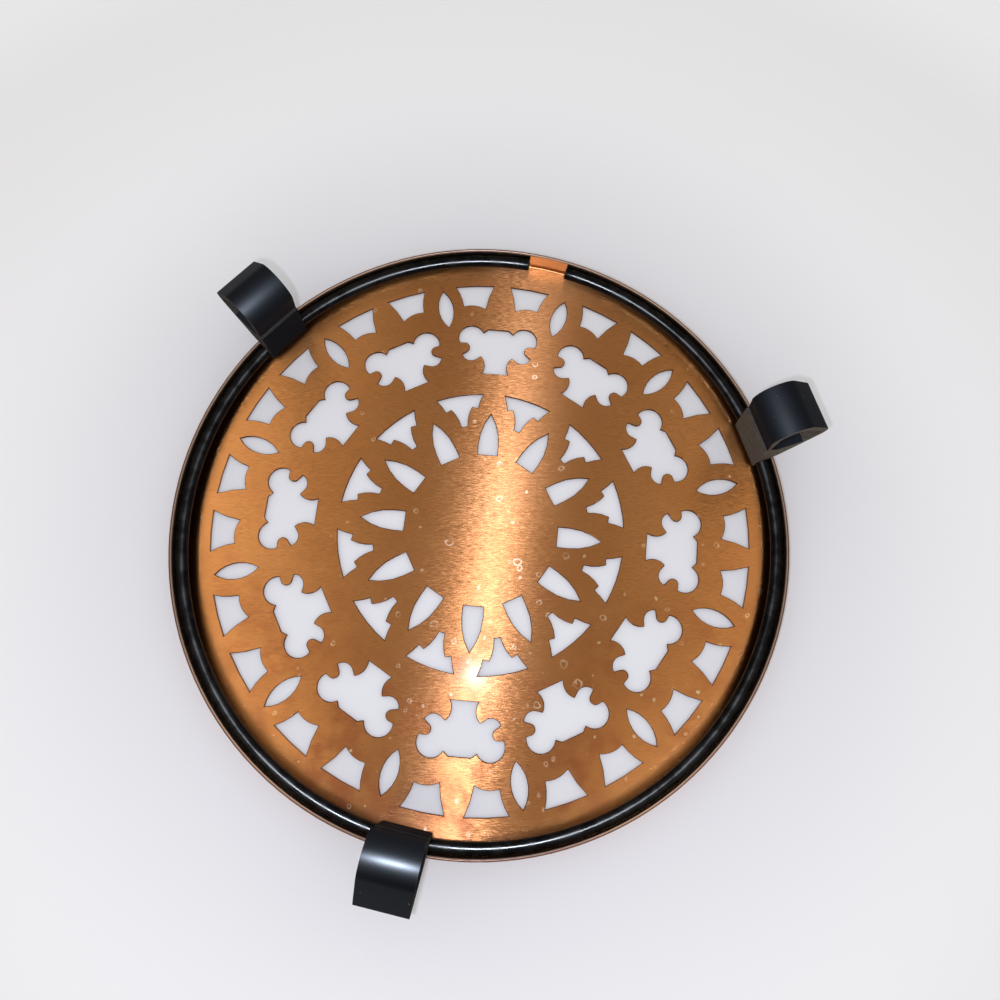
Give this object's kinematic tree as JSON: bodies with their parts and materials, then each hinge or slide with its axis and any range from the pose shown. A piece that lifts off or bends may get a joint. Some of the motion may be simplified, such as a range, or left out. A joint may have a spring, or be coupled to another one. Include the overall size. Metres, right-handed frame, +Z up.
{
  "type": "trivet",
  "caption": "Round pierced copper trivet with a turned-down rim, held by a black wire ring, on black looped feet that slide round the ring.",
  "frame": {"origin": "centre of the plate's flat top face, on the axis of the rim; the trivet stands with this face level and its feet reach down to the table", "axes": "+Z up, out of the top face on which a pot stands; +Y towards foot_2 within 9 degrees; +X to the right seen from above"},
  "size_m": [0.1944, 0.1995, 0.0369],
  "materials": {
    "copper": "brushed copper, clear, with water spots",
    "wire": "satin black",
    "black_moulding": "semi-gloss black, worn grey-brown on the cut sides"
  },
  "bodies": {
    "root": {"plate": "copper", "retaining_ring": "wire"},
    "foot_1_body": {"foot_1": "black_moulding"},
    "foot_2_body": {"foot_2": "black_moulding"},
    "foot_3_body": {"foot_3": "black_moulding"}
  },
  "joints": [
    {"name": "foot_1_slide_round_ring", "type": "hinge", "parent": "root", "child": "foot_1_body", "pos_m": [0, 0, 0], "axis": [0, 0, 1], "range_deg": [-45, 45]},
    {"name": "foot_2_slide_round_ring", "type": "hinge", "parent": "root", "child": "foot_2_body", "pos_m": [0, 0, 0], "axis": [0, 0, 1], "range_deg": [-45, 45]},
    {"name": "foot_3_slide_round_ring", "type": "hinge", "parent": "root", "child": "foot_3_body", "pos_m": [0, 0, 0], "axis": [0, 0, 1], "range_deg": [-45, 45]}
  ]
}
